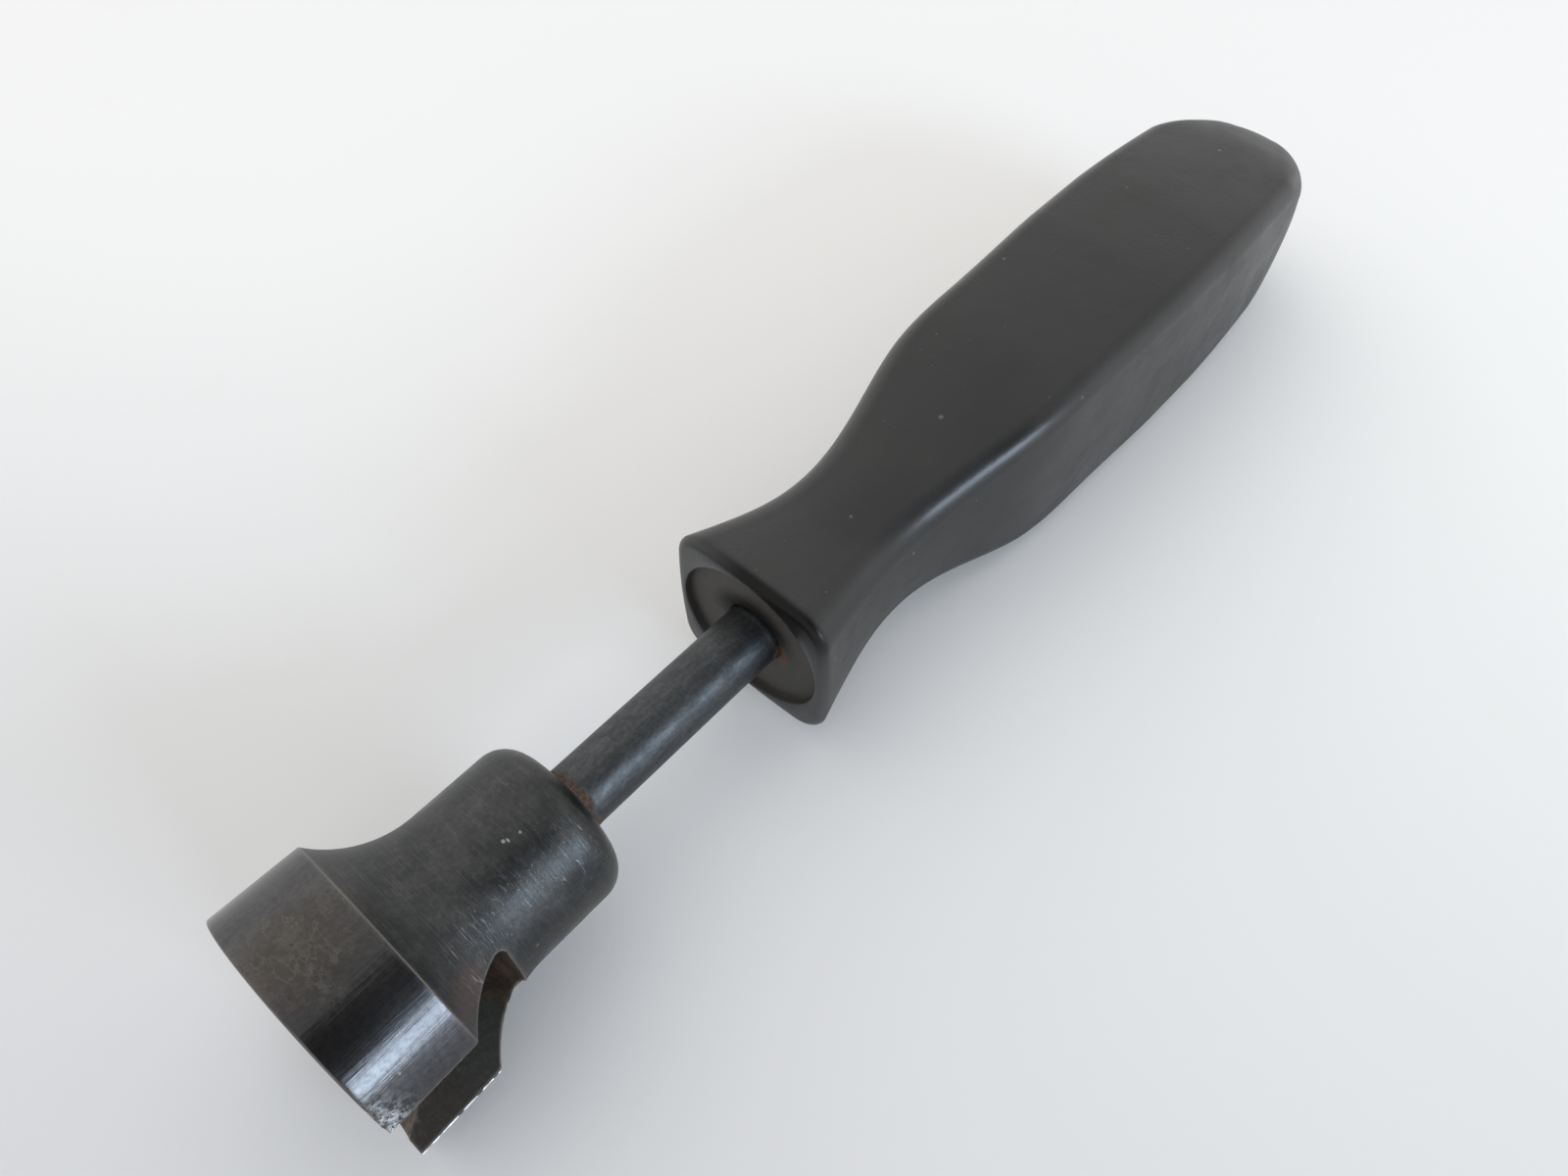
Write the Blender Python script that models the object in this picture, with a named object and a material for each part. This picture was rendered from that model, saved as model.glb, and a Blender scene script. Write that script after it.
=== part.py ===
"""Spring retainer cup tool.

A square moulded handle, a round steel shank and a bell-shaped steel cup with one slot. The tool
lies along X with the cup's mouth facing -X. The handle's flat sides face +-Y and +-Z. Lengths along
the tool are measured from the mouth. Everything hangs on one empty, on the tool's axis at the mouth.
"""

import math

import bmesh
import bpy
from mathutils import Matrix, Vector

# Driving dimensions, in metres.
CLEARANCE = 0.0003          # gap all round between pieces that fit in each other

# Cup
SKIRT_RADIUS = 0.0153       # outside, at the mouth
SKIRT_TAPER = 0.0002        # how much smaller the skirt is at the ridge
SKIRT_LENGTH = 0.0101
FLARE_RADIUS = 0.0119       # concave arc from the ridge down to the body
BODY_RADIUS = 0.0100
CUP_LENGTH = 0.0323
SHOULDER_RADIUS = 0.0034
MOUTH_RADIUS = SKIRT_RADIUS - 0.0019        # inside, where the mouth's cone starts
WIDE_BORE_RADIUS = SKIRT_RADIUS - 0.0043
CONE_DEPTH = 0.0039         # where the mouth's cone has narrowed to the wide bore
STEP_DEPTH = SKIRT_LENGTH - 0.0003          # flat step between the two bores
DEEP_BORE_RADIUS = BODY_RADIUS - 0.0030
BORE_DEPTH = 0.0174
BORE_CORNER_RADIUS = 0.0008
FLOOR_THICKNESS = 0.0033    # steel between the cup's floor and the shank
RIM_BREAK = 0.00015         # outside edge of the mouth

# Slot through the cup's side, open at the mouth
SLOT_WIDTH = 0.0125         # across the slot at the skirt's outside
SLOT_LENGTH = BORE_DEPTH - 0.0002
SLOT_CORNER_RADIUS = 0.0012
SLOT_SPLAY = math.radians(3.0)      # each side leans this far from the slot's middle plane
SLOT_TURN = math.radians(3.0)       # the slot's middle lies this far below the -Y direction

# Handle: half widths of the square section at distances from its front face
HANDLE_LENGTH = 0.1233
HANDLE_PROFILE = (
    (0.0000, 0.0121),
    (0.0060, 0.0106),
    (0.0150, 0.0090),
    (0.0230, 0.0090),
    (0.0310, 0.0103),
    (0.0420, 0.0126),
    (0.0570, 0.0134),
    (0.0750, 0.0139),
    (0.0940, 0.0137),
    (0.1140, 0.0125),
)
BUTT_LENGTH = 0.0165        # the rounded end
BUTT_POWER = 2.7            # 2 rounds it like an ellipse, more makes it squarer
FRONT_CORNER_RADIUS = 0.0046
GRIP_CORNER_RADIUS = 0.0030
CORNER_CHANGE_LENGTH = 0.0420       # over which the front's corners turn into the grip's
FACE_CROWN = 0.0003         # how far each side bulges in its middle
NARROW_CROWN = 0.06         # a narrow side bulges less, by this share of its flat half width
FRONT_EDGE_RADIUS = 0.0011
RECESS_RADIUS = HANDLE_PROFILE[0][1] - 0.0017
RECESS_DEPTH = 0.0010

# Shank
SHANK_RADIUS = 0.00397
SHANK_CHAMFER = 0.0004
SHANK_SHOWING = 0.0290      # free length between the cup and the handle's front
SPIGOT_LENGTH = CUP_LENGTH - BORE_DEPTH - FLOOR_THICKNESS - CLEARANCE   # held in the cup's back
SHANK_IN_HANDLE = 0.07398   # reach of the shank into the handle
TANG_LENGTH = 0.0280        # flattened end, which keeps the handle from turning
TANG_THICKNESS = 1.46 * SHANK_RADIUS
TANG_RAMP = 0.0030          # over which the round shank turns into the flattened end

# Mesh fineness
ROUND_STEPS = 72
HANDLE_STEPS = 44
CORNER_STEPS = 6
SIDE_STEPS = 4
ARC_STEPS = 8

HANDLE_FRONT = CUP_LENGTH + SHANK_SHOWING


def clear_scene():
    for item in list(bpy.data.objects):
        bpy.data.objects.remove(item, do_unlink=True)


def make_material(name, colour, roughness, metallic):
    material = bpy.data.materials.new(name)
    material.use_nodes = True
    shader = material.node_tree.nodes["Principled BSDF"]
    shader.inputs["Base Color"].default_value = (*colour, 1.0)
    shader.inputs["Roughness"].default_value = roughness
    shader.inputs["Metallic"].default_value = metallic
    return material


def add_object(name, mesh_builder, parent, material=None):
    """Turn a bmesh into a named object, its faces pointing out."""
    bmesh.ops.recalc_face_normals(mesh_builder, faces=mesh_builder.faces)
    mesh = bpy.data.meshes.new(name)
    mesh_builder.to_mesh(mesh)
    mesh_builder.free()
    piece = bpy.data.objects.new(name, mesh)
    bpy.context.scene.collection.objects.link(piece)
    piece.parent = parent
    if material:
        mesh.materials.append(material)
        mesh.shade_smooth()
        mesh.set_sharp_from_angle(angle=math.radians(28.0))
    return piece


def cut(piece, cutter):
    """Subtract a cutter and keep it in the file as a wire guide."""
    cutter.hide_render = True
    cutter.display_type = "WIRE"
    modifier = piece.modifiers.new("cut_" + cutter.name, "BOOLEAN")
    modifier.operation = "DIFFERENCE"
    modifier.object = cutter


def arc(centre, radius, start, end, steps):
    """Points along an arc; angles are measured from +X towards larger radii."""
    points = []
    for step in range(steps + 1):
        angle = start + (end - start) * step / steps
        points.append((centre[0] + radius * math.cos(angle), centre[1] + radius * math.sin(angle)))
    return points


def turned(outline, steps=ROUND_STEPS):
    """A body of revolution about X from (along, radius) points that start and end on the axis."""
    body = bmesh.new()
    rings = []
    for along, radius in outline:
        if radius == 0.0:
            rings.append([body.verts.new((along, 0.0, 0.0))] * steps)
            continue
        ring = []
        for step in range(steps):
            angle = 2.0 * math.pi * step / steps
            ring.append(body.verts.new((along, radius * math.cos(angle), radius * math.sin(angle))))
        rings.append(ring)
    for first, second in zip(rings, rings[1:]):
        for step in range(steps):
            after = (step + 1) % steps
            corners = (first[step], first[after], second[after], second[step])
            body.faces.new(list(dict.fromkeys(corners)))
    return body


def lofted(rings):
    """A closed body through rings of the same number of points, capped at both ends."""
    body = bmesh.new()
    loops = [[body.verts.new(point) for point in ring] for ring in rings]
    count = len(loops[0])
    for first, second in zip(loops, loops[1:]):
        for step in range(count):
            after = (step + 1) % count
            body.faces.new((first[step], first[after], second[after], second[step]))
    body.faces.new(loops[0][::-1])
    body.faces.new(loops[-1])
    return body


# Cup ---------------------------------------------------------------------------------------------

def flare_end():
    """Where the flare's arc runs out into the straight body."""
    drop = SKIRT_RADIUS - SKIRT_TAPER - BODY_RADIUS
    return SKIRT_LENGTH + math.sqrt(2.0 * FLARE_RADIUS * drop - drop * drop)


def cup_outline():
    """From the middle of the floor out along the bores, round the mouth and back to the shank's hole."""
    bore_corner = (BORE_DEPTH - BORE_CORNER_RADIUS, DEEP_BORE_RADIUS - BORE_CORNER_RADIUS)
    flare_centre = (flare_end(), BODY_RADIUS + FLARE_RADIUS)
    ridge_angle = -math.pi - math.asin((SKIRT_RADIUS - SKIRT_TAPER - flare_centre[1]) / FLARE_RADIUS)
    shoulder = (CUP_LENGTH - SHOULDER_RADIUS, BODY_RADIUS - SHOULDER_RADIUS)
    hole_radius = SHANK_RADIUS + CLEARANCE
    hole_end = BORE_DEPTH + FLOOR_THICKNESS
    return [
        (BORE_DEPTH, 0.0),
        *arc(bore_corner, BORE_CORNER_RADIUS, 0.0, 0.5 * math.pi, 3),
        (STEP_DEPTH, DEEP_BORE_RADIUS),
        (STEP_DEPTH, WIDE_BORE_RADIUS),
        (CONE_DEPTH, WIDE_BORE_RADIUS),
        (0.0, MOUTH_RADIUS),
        (0.0, SKIRT_RADIUS - RIM_BREAK),
        (RIM_BREAK, SKIRT_RADIUS),
        *arc(flare_centre, FLARE_RADIUS, ridge_angle, -0.5 * math.pi, ARC_STEPS),
        *arc(shoulder, SHOULDER_RADIUS, 0.5 * math.pi, 0.0, ARC_STEPS),
        (CUP_LENGTH, hole_radius),
        (hole_end, hole_radius),
        (hole_end, 0.0),
    ]


def slot_ring(distance):
    """The slot's outline at a distance from the tool's axis, in the slot's own plane."""
    reach = math.sqrt(SKIRT_RADIUS ** 2 - (0.5 * SLOT_WIDTH) ** 2)
    half = 0.5 * SLOT_WIDTH + (distance - reach) * math.tan(SLOT_SPLAY)
    inset = SLOT_LENGTH - SLOT_CORNER_RADIUS
    upper = arc((inset, half - SLOT_CORNER_RADIUS), SLOT_CORNER_RADIUS, 0.5 * math.pi, 0.0, 5)
    lower = [(along, -across) for along, across in reversed(upper)]
    outline = [(-SKIRT_LENGTH, -half), (-SKIRT_LENGTH, half), *upper, *lower]
    return [Vector((along, -distance, across)) for along, across in outline]


def slot_cutter(parent):
    rings = [slot_ring(0.25 * BODY_RADIUS), slot_ring(SKIRT_RADIUS + 2.0 * RIM_BREAK)]
    cutter = add_object("slot_cutter", lofted(rings), parent)
    cutter.rotation_euler.x = SLOT_TURN
    return cutter


def make_cup(parent, material):
    cup = add_object("cup_head", turned(cup_outline()), parent, material)
    cut(cup, slot_cutter(parent))
    return cup


# Shank -------------------------------------------------------------------------------------------

def shank_body(start, grown):
    """The shank from a place along the tool to its flattened end, grown on every side."""
    radius = SHANK_RADIUS + grown
    flat = 0.5 * TANG_THICKNESS + grown
    end = HANDLE_FRONT + SHANK_IN_HANDLE + grown
    tang = end - TANG_LENGTH
    stations = [
        (start, radius - SHANK_CHAMFER, radius),
        (start + SHANK_CHAMFER, radius, radius),
        (tang - TANG_RAMP, radius, radius),
        (tang, radius, flat),
        (end - SHANK_CHAMFER, radius, flat),
        (end, radius - SHANK_CHAMFER, flat - SHANK_CHAMFER),
    ]
    rings = []
    for along, reach, height in stations:
        ring = []
        for step in range(ROUND_STEPS):
            angle = 2.0 * math.pi * step / ROUND_STEPS
            rise = max(-height, min(height, reach * math.sin(angle)))
            ring.append(Vector((along, reach * math.cos(angle), rise)))
        rings.append(ring)
    return lofted(rings)


def make_shank(parent, material):
    return add_object("shank", shank_body(CUP_LENGTH - SPIGOT_LENGTH, 0.0), parent, material)


# Handle ------------------------------------------------------------------------------------------

def smooth_value(points, at):
    """A smooth curve through (place, value) points that never overshoots them."""
    slopes = [(b[1] - a[1]) / (b[0] - a[0]) for a, b in zip(points, points[1:])]
    tangents = [slopes[0]]
    for before, after in zip(slopes, slopes[1:]):
        same_way = before * after > 0.0
        tangents.append(2.0 * before * after / (before + after) if same_way else 0.0)
    tangents.append(slopes[-1])
    index = 0
    while index < len(points) - 2 and at > points[index + 1][0]:
        index += 1
    (low, low_value), (high, high_value) = points[index], points[index + 1]
    span = high - low
    t = (at - low) / span
    return (
        low_value * (1.0 + 2.0 * t) * (1.0 - t) ** 2
        + high_value * t * t * (3.0 - 2.0 * t)
        + span * tangents[index] * t * (1.0 - t) ** 2
        - span * tangents[index + 1] * t * t * (1.0 - t)
    )


def side_half_width(distance):
    """Half the handle's width at a distance from its front face, without the butt's rounding."""
    last, width = HANDLE_PROFILE[-1]
    return smooth_value(HANDLE_PROFILE, distance) if distance < last else width


def square_ring(along, half, corner):
    """A square with rounded corners and slightly bulging sides, across the tool."""
    corner = min(corner, 0.9 * half)
    crown = min(FACE_CROWN, NARROW_CROWN * (half - corner))
    inner = half - crown - corner
    quarter = []
    for step in range(CORNER_STEPS + 1):
        angle = 0.5 * math.pi * step / CORNER_STEPS
        quarter.append((inner + corner * math.cos(angle), inner + corner * math.sin(angle)))
    for step in range(1, SIDE_STEPS):
        across = 1.0 - 2.0 * step / SIDE_STEPS
        quarter.append((inner * across, half - crown * across * across))
    ring = []
    for turn in range(4):
        turning = Matrix.Rotation(0.5 * math.pi * turn, 2)
        ring.extend(turning @ Vector(point) for point in quarter)
    return [Vector((along, point.x, point.y)) for point in ring]


def handle_rings():
    rings = []
    for step in range(ARC_STEPS // 2 + 1):
        angle = 0.5 * math.pi * step / (ARC_STEPS // 2)
        distance = FRONT_EDGE_RADIUS * (1.0 - math.cos(angle))
        inset = FRONT_EDGE_RADIUS * (1.0 - math.sin(angle))
        half = side_half_width(FRONT_EDGE_RADIUS) - inset
        rings.append((distance, half, FRONT_CORNER_RADIUS - inset))
    butt_start = HANDLE_LENGTH - BUTT_LENGTH
    for step in range(1, HANDLE_STEPS + 1):
        distance = FRONT_EDGE_RADIUS + (butt_start - FRONT_EDGE_RADIUS) * step / HANDLE_STEPS
        blend = min(1.0, distance / CORNER_CHANGE_LENGTH)
        corner = FRONT_CORNER_RADIUS + (GRIP_CORNER_RADIUS - FRONT_CORNER_RADIUS) * blend
        rings.append((distance, side_half_width(distance), corner))
    for step in range(1, 2 * ARC_STEPS):
        angle = 0.5 * math.pi * step / (2 * ARC_STEPS)
        share = math.sin(angle)
        shrink = (1.0 - share ** BUTT_POWER) ** (1.0 / BUTT_POWER)
        distance = butt_start + BUTT_LENGTH * share
        half = side_half_width(distance) * shrink
        corner = GRIP_CORNER_RADIUS + (0.9 * half - GRIP_CORNER_RADIUS) * share ** 1.2
        rings.append((distance, half, corner))
    rings.append((HANDLE_LENGTH, 0.35 * rings[-1][1], 0.2 * rings[-1][1]))
    return [square_ring(HANDLE_FRONT + along, half, corner) for along, half, corner in rings]


def recess_cutter(parent):
    floor = HANDLE_FRONT + RECESS_DEPTH
    outline = [(CUP_LENGTH, 0.0), (CUP_LENGTH, RECESS_RADIUS), (floor, RECESS_RADIUS), (floor, 0.0)]
    return add_object("recess_cutter", turned(outline), parent)


def make_handle(parent, material):
    handle = add_object("handle", lofted(handle_rings()), parent, material)
    cut(handle, recess_cutter(parent))
    cut(handle, add_object("bore_cutter", shank_body(CUP_LENGTH, CLEARANCE), parent))
    return handle


def stand_at_origin(root, pieces):
    """Move the whole tool so that the middle of its underside is the origin."""
    bpy.context.view_layer.update()
    shapes = bpy.context.evaluated_depsgraph_get()
    points = []
    for piece in pieces:
        shape = piece.evaluated_get(shapes)
        points.extend(shape.matrix_world @ vertex.co for vertex in shape.data.vertices)
    low = Vector(min(point[axis] for point in points) for axis in range(3))
    high = Vector(max(point[axis] for point in points) for axis in range(3))
    root.location -= Vector((0.5 * (low.x + high.x), 0.5 * (low.y + high.y), low.z))


def build():
    clear_scene()
    root = bpy.data.objects.new("tool_axis", None)
    bpy.context.scene.collection.objects.link(root)
    pieces = [
        make_cup(root, make_material("dark_satin_steel", (0.13, 0.13, 0.135), 0.38, 1.0)),
        make_shank(root, make_material("blued_steel", (0.08, 0.085, 0.095), 0.35, 1.0)),
        make_handle(root, make_material("black_plastic", (0.018, 0.018, 0.019), 0.42, 0.0)),
    ]
    stand_at_origin(root, pieces)


build()
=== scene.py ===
"""Finer pieces and worn finishes for a spring retainer cup tool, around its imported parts.

Each piece is made in millimetres from the middle of the cup's mouth, with +X towards the butt, and
is then set in its place. The cup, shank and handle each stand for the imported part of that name.
"""

import math

import bmesh
import bpy
import numpy as np
from mathutils import Matrix, Vector, noise


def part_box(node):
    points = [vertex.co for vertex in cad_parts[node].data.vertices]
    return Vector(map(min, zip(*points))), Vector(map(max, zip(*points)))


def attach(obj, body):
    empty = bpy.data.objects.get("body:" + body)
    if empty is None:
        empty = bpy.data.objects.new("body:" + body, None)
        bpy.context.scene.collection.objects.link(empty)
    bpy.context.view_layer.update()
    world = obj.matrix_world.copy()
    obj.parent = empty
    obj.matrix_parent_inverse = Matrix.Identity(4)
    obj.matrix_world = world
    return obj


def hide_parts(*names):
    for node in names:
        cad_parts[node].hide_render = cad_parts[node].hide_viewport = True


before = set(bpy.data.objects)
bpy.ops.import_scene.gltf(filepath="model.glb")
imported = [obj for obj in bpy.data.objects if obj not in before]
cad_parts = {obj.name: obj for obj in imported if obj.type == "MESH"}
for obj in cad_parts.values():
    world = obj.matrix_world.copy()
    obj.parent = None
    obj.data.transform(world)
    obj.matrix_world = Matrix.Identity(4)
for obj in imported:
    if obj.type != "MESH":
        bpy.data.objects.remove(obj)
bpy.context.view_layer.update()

MM = 0.001
MICRON = 0.000001

# Cup, in millimetres from the mouth and from the tool's axis
SKIRT_RADIUS, RIDGE_RADIUS, SKIRT_LENGTH = 15.3, 15.1, 10.1
FLARE_RADIUS, BODY_RADIUS, CUP_LENGTH = 11.9, 10.0, 32.3
SHOULDER_RADIUS = 3.4
RIM_BREAK, HOLE_CHAMFER = 0.15, 0.2
MOUTH_RADIUS, CONE_DEPTH, WIDE_BORE_RADIUS = 13.4, 3.9, 11.0
STEP_DEPTH, DEEP_BORE_RADIUS = 9.8, 7.0
BORE_DEPTH, BORE_CORNER_RADIUS = 17.4, 0.8
FLARE_END = SKIRT_LENGTH + math.sqrt(
    2.0 * FLARE_RADIUS * (RIDGE_RADIUS - BODY_RADIUS) - (RIDGE_RADIUS - BODY_RADIUS) ** 2
)
FLARE_CENTRE = (FLARE_END, BODY_RADIUS + FLARE_RADIUS)

# Slot in the cup's side
SLOT_WIDTH, SLOT_LENGTH, SLOT_CORNER_RADIUS = 12.5, 17.2, 1.2
SLOT_SPLAY = math.radians(3.0)
SLOT_TURN = math.radians(3.0)
SLOT_REACH = math.sqrt(SKIRT_RADIUS ** 2 - (0.5 * SLOT_WIDTH) ** 2)

# Shank
SHANK_RADIUS, SHANK_CHAMFER, CLEARANCE = 3.97, 0.4, 0.3
SHANK_START = 21.0
TANG_LENGTH, TANG_RAMP, TANG_HALF_THICKNESS = 28.0, 3.0, 2.9

# Handle
HANDLE_FRONT, HANDLE_LENGTH, SHANK_IN_HANDLE = 61.3, 123.3, 73.98
HANDLE_PROFILE = (
    (0.0, 12.1), (6.0, 10.6), (15.0, 9.0), (23.0, 9.0), (31.0, 10.3),
    (42.0, 12.6), (57.0, 13.4), (75.0, 13.9), (94.0, 13.7), (114.0, 12.5),
)
WIDEST_PLACE = 75.0
BUTT_LENGTH, BUTT_POWER, BUTT_CORNER_POWER = 16.5, 2.7, 1.2
FRONT_CORNER_RADIUS, GRIP_CORNER_RADIUS, CORNER_CHANGE_LENGTH = 4.6, 3.0, 42.0
LARGEST_CORNER = 0.9
FACE_CROWN, NARROW_CROWN, FRONT_EDGE_RADIUS = 0.3, 0.06, 1.1
RECESS_RADIUS, RECESS_DEPTH = 10.4, 1.0

# How finely the pieces are made: rings a turn, the longest step along the cup's outline, how far
# from a sharp corner its rounding starts, and the last ring before a closed end's middle point
CUP_STEPS, SHANK_STEPS, OUTLINE_STEP, CORNER_REACH, POLE_RADIUS = 240, 120, 0.36, 0.13, 0.5

shank_low, shank_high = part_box("shank")
cup_low, cup_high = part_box("cup_head")
shank_middle = 0.5 * (shank_low + shank_high)
MOUTH = Vector((cup_low.x, shank_middle.y, shank_middle.z))


# Shapes ------------------------------------------------------------------------------------------

def arc(centre, radius, start, end, steps):
    """Points along an arc; angles in degrees, from +X towards larger radii."""
    angles = np.radians(np.linspace(start, end, steps + 1))
    return [(centre[0] + radius * math.cos(a), centre[1] + radius * math.sin(a)) for a in angles]


def eased(outline, reach):
    """The outline with each sharp corner rounded over a short reach."""
    points = [np.array(point, float) for point in outline]
    result = [points[0]]
    for before, corner, after in zip(points, points[1:], points[2:]):
        back, ahead = before - corner, after - corner
        long_back, long_ahead = np.linalg.norm(back), np.linalg.norm(ahead)
        turn = math.pi - math.acos(np.clip(back @ ahead / (long_back * long_ahead), -1.0, 1.0))
        if turn < math.radians(16.0):
            result.append(corner)
            continue
        first = corner + back * min(reach / long_back, 0.45)
        last = corner + ahead * min(reach / long_ahead, 0.45)
        result.extend([first, 0.25 * (first + last) + 0.5 * corner, last])
    result.append(points[-1])
    return result


def filled(outline, step):
    """The outline with points added so that no stretch is longer than the step."""
    result = [np.array(outline[0], float)]
    for first, last in zip(outline, outline[1:]):
        first, last = np.array(first, float), np.array(last, float)
        count = max(1, math.ceil(np.linalg.norm(last - first) / step))
        result.extend(first + (last - first) * k / count for k in range(1, count + 1))
    return result


def ring_mesh(name, rings, start=None, end=None):
    """A mesh through rings of the same number of points, closed at each end by a point."""
    count = len(rings[0])
    points = np.concatenate([np.asarray(ring, float) for ring in rings])
    faces = []
    for row in range(len(rings) - 1):
        low, high = row * count, (row + 1) * count
        for k in range(count):
            after = (k + 1) % count
            faces.append((low + k, low + after, high + after, high + k))
    for pole, row in ((start, 0), (end, len(rings) - 1)):
        if pole is None:
            continue
        points = np.vstack([points, pole])
        tip, base = len(points) - 1, row * count
        for k in range(count):
            pair = (base + (k + 1) % count, base + k)
            faces.append((*pair, tip) if row == 0 else (*pair[::-1], tip))
    mesh = bpy.data.meshes.new(name)
    mesh.from_pydata(points.tolist(), [], faces)
    return mesh


def add_piece(name, made):
    """A new object in the scene, from its mesh, lamp or camera."""
    piece = bpy.data.objects.new(name, made)
    bpy.context.scene.collection.objects.link(piece)
    return piece


def mesh_points(mesh):
    points = np.zeros(len(mesh.vertices) * 3)
    mesh.vertices.foreach_get("co", points)
    return points.reshape(-1, 3)


def store(mesh, name, values):
    """Keep one number a vertex, which the finishes read."""
    attribute = mesh.attributes.new(name, "FLOAT", "POINT")
    attribute.data.foreach_set("value", np.asarray(values, np.float32))


def settle(piece, node, material, sharp):
    """Set a finished piece in its place, in metres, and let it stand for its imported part."""
    mesh = piece.data
    mesh.transform(Matrix.Scale(MM, 4))
    mesh.shade_smooth()
    mesh.set_sharp_from_angle(angle=math.radians(sharp))
    mesh.materials.clear()
    mesh.materials.append(material)
    piece.location = MOUTH
    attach(piece, "root")
    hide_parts(node)


def bumps(points, size, seed):
    """Smooth noise from -1 to 1 at each point, its lumps about as wide as the size."""
    shift = Vector((seed, 2.0 * seed, -seed))
    return np.array([noise.noise(Vector(point) / size + shift) for point in points])


# Cup ---------------------------------------------------------------------------------------------

def outer_radius(along):
    if along < SKIRT_LENGTH:
        return SKIRT_RADIUS + (RIDGE_RADIUS - SKIRT_RADIUS) * max(along, 0.0) / SKIRT_LENGTH
    reach = min(0.0, along - FLARE_CENTRE[0])
    return FLARE_CENTRE[1] - math.sqrt(FLARE_RADIUS ** 2 - reach ** 2)


def cup_outline():
    outer_flare = [(x, outer_radius(x)) for x in np.linspace(SKIRT_LENGTH, FLARE_END, 34)]
    bore_corner = (BORE_DEPTH - BORE_CORNER_RADIUS, DEEP_BORE_RADIUS - BORE_CORNER_RADIUS)
    shoulder = (CUP_LENGTH - SHOULDER_RADIUS, BODY_RADIUS - SHOULDER_RADIUS)
    hole = SHANK_RADIUS + CLEARANCE
    outline = [
        (BORE_DEPTH, POLE_RADIUS),
        *arc(bore_corner, BORE_CORNER_RADIUS, 0.0, 90.0, 5),
        (STEP_DEPTH, DEEP_BORE_RADIUS),
        (STEP_DEPTH, WIDE_BORE_RADIUS),
        (CONE_DEPTH, WIDE_BORE_RADIUS),
        (0.0, MOUTH_RADIUS),
        (0.0, SKIRT_RADIUS - RIM_BREAK),
        (RIM_BREAK, SKIRT_RADIUS),
        *outer_flare,
        *arc(shoulder, SHOULDER_RADIUS, 90.0, 0.0, 14),
        (CUP_LENGTH, hole + HOLE_CHAMFER),
        (CUP_LENGTH - HOLE_CHAMFER, hole),
        (SHANK_START - CLEARANCE, hole),
        (SHANK_START - CLEARANCE, POLE_RADIUS),
    ]
    return filled(eased(outline, CORNER_REACH), OUTLINE_STEP)


def slot_half(out):
    """Half the slot's width at this distance from the axis."""
    return 0.5 * SLOT_WIDTH + (out - SLOT_REACH) * math.tan(SLOT_SPLAY)


def slot_point(along, share, aside, depth, flat):
    """A point on the slot's side, across by a share of the half width and a step aside.

    It lies this far from the axis: on a flat there, or else on a round surface of that radius.
    """
    out = depth if flat else SLOT_REACH
    for _ in range(3):
        across = share * (slot_half(out) - SLOT_CORNER_RADIUS) + aside
        if not flat:
            out = math.sqrt(max(1.0, depth ** 2 - across ** 2))
    return np.array((along, -out, across))


def slot_path():
    """Round the slot's outline: along, share of the half width, step aside, and the way out."""
    inset, corner = SLOT_LENGTH - SLOT_CORNER_RADIUS, SLOT_CORNER_RADIUS
    path = [(along, 1.0, corner, 0.0, 1.0) for along in np.arange(-3.0, inset, 0.3)]
    for angle in np.radians(np.linspace(90.0, 0.0, 9)):
        c, s = math.cos(angle), math.sin(angle)
        path.append((inset + corner * c, 1.0, corner * s, c, s))
    path.extend((SLOT_LENGTH, share, 0.0, 1.0, 0.0) for share in np.linspace(0.94, 0.0, 16))
    path.extend((along, -share, -aside, out_along, -out_across)
                for along, share, aside, out_along, out_across in reversed(path[:-1]))
    return path


def slot_cutter():
    """A plug that leaves the slot with small broken edges and a ragged burr."""
    path = slot_path()
    # each level: flat or round, its depth from the axis or from the cup's outside, how much wider
    # than the slot it is, and how ragged
    levels = (
        (True, 2.5, 0.0, 0.0),
        *((False, -depth, 0.0, 0.05) for depth in (4.6, 3.7, 2.9, 2.1, 1.4, 0.8, 0.4)),
        (False, -0.12, 0.0, 0.07),
        (False, 0.06, 0.16, 0.09),
        (True, 20.0, 0.16, 0.0),
    )
    turn = Matrix.Rotation(SLOT_TURN, 3, "X")
    count = len(path)
    points = []
    for number, (flat, offset, wider, ragged) in enumerate(levels):
        for along, share, aside, out_along, out_across in path:
            rough = 0.0
            if ragged:
                place = Vector((along * 1.1, 9.0 * share, 0.35 * number))
                rough = ragged * (noise.noise(place) + 0.6 * noise.noise(place * 2.7))
            out = wider + rough
            x = along + out_along * out
            depth = offset if flat else outer_radius(x) + offset
            point = slot_point(x, share, aside, depth, flat)
            point[2] += out_across * out
            points.append(tuple(turn @ Vector(point)))
    faces = [tuple(range(count))[::-1], tuple(range(len(points) - count, len(points)))]
    for low in range(0, len(points) - count, count):
        for k in range(count):
            after = (k + 1) % count
            faces.append((low + k, low + after, low + count + after, low + count + k))
    mesh = bpy.data.meshes.new("slot_cutter")
    mesh.from_pydata(points, [], faces)
    return add_piece("slot_cutter", mesh)


def outward(mesh):
    """Turn the faces of a closed mesh outwards."""
    shape = bmesh.new()
    shape.from_mesh(mesh)
    bmesh.ops.recalc_face_normals(shape, faces=shape.faces)
    shape.to_mesh(mesh)
    shape.free()


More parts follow.
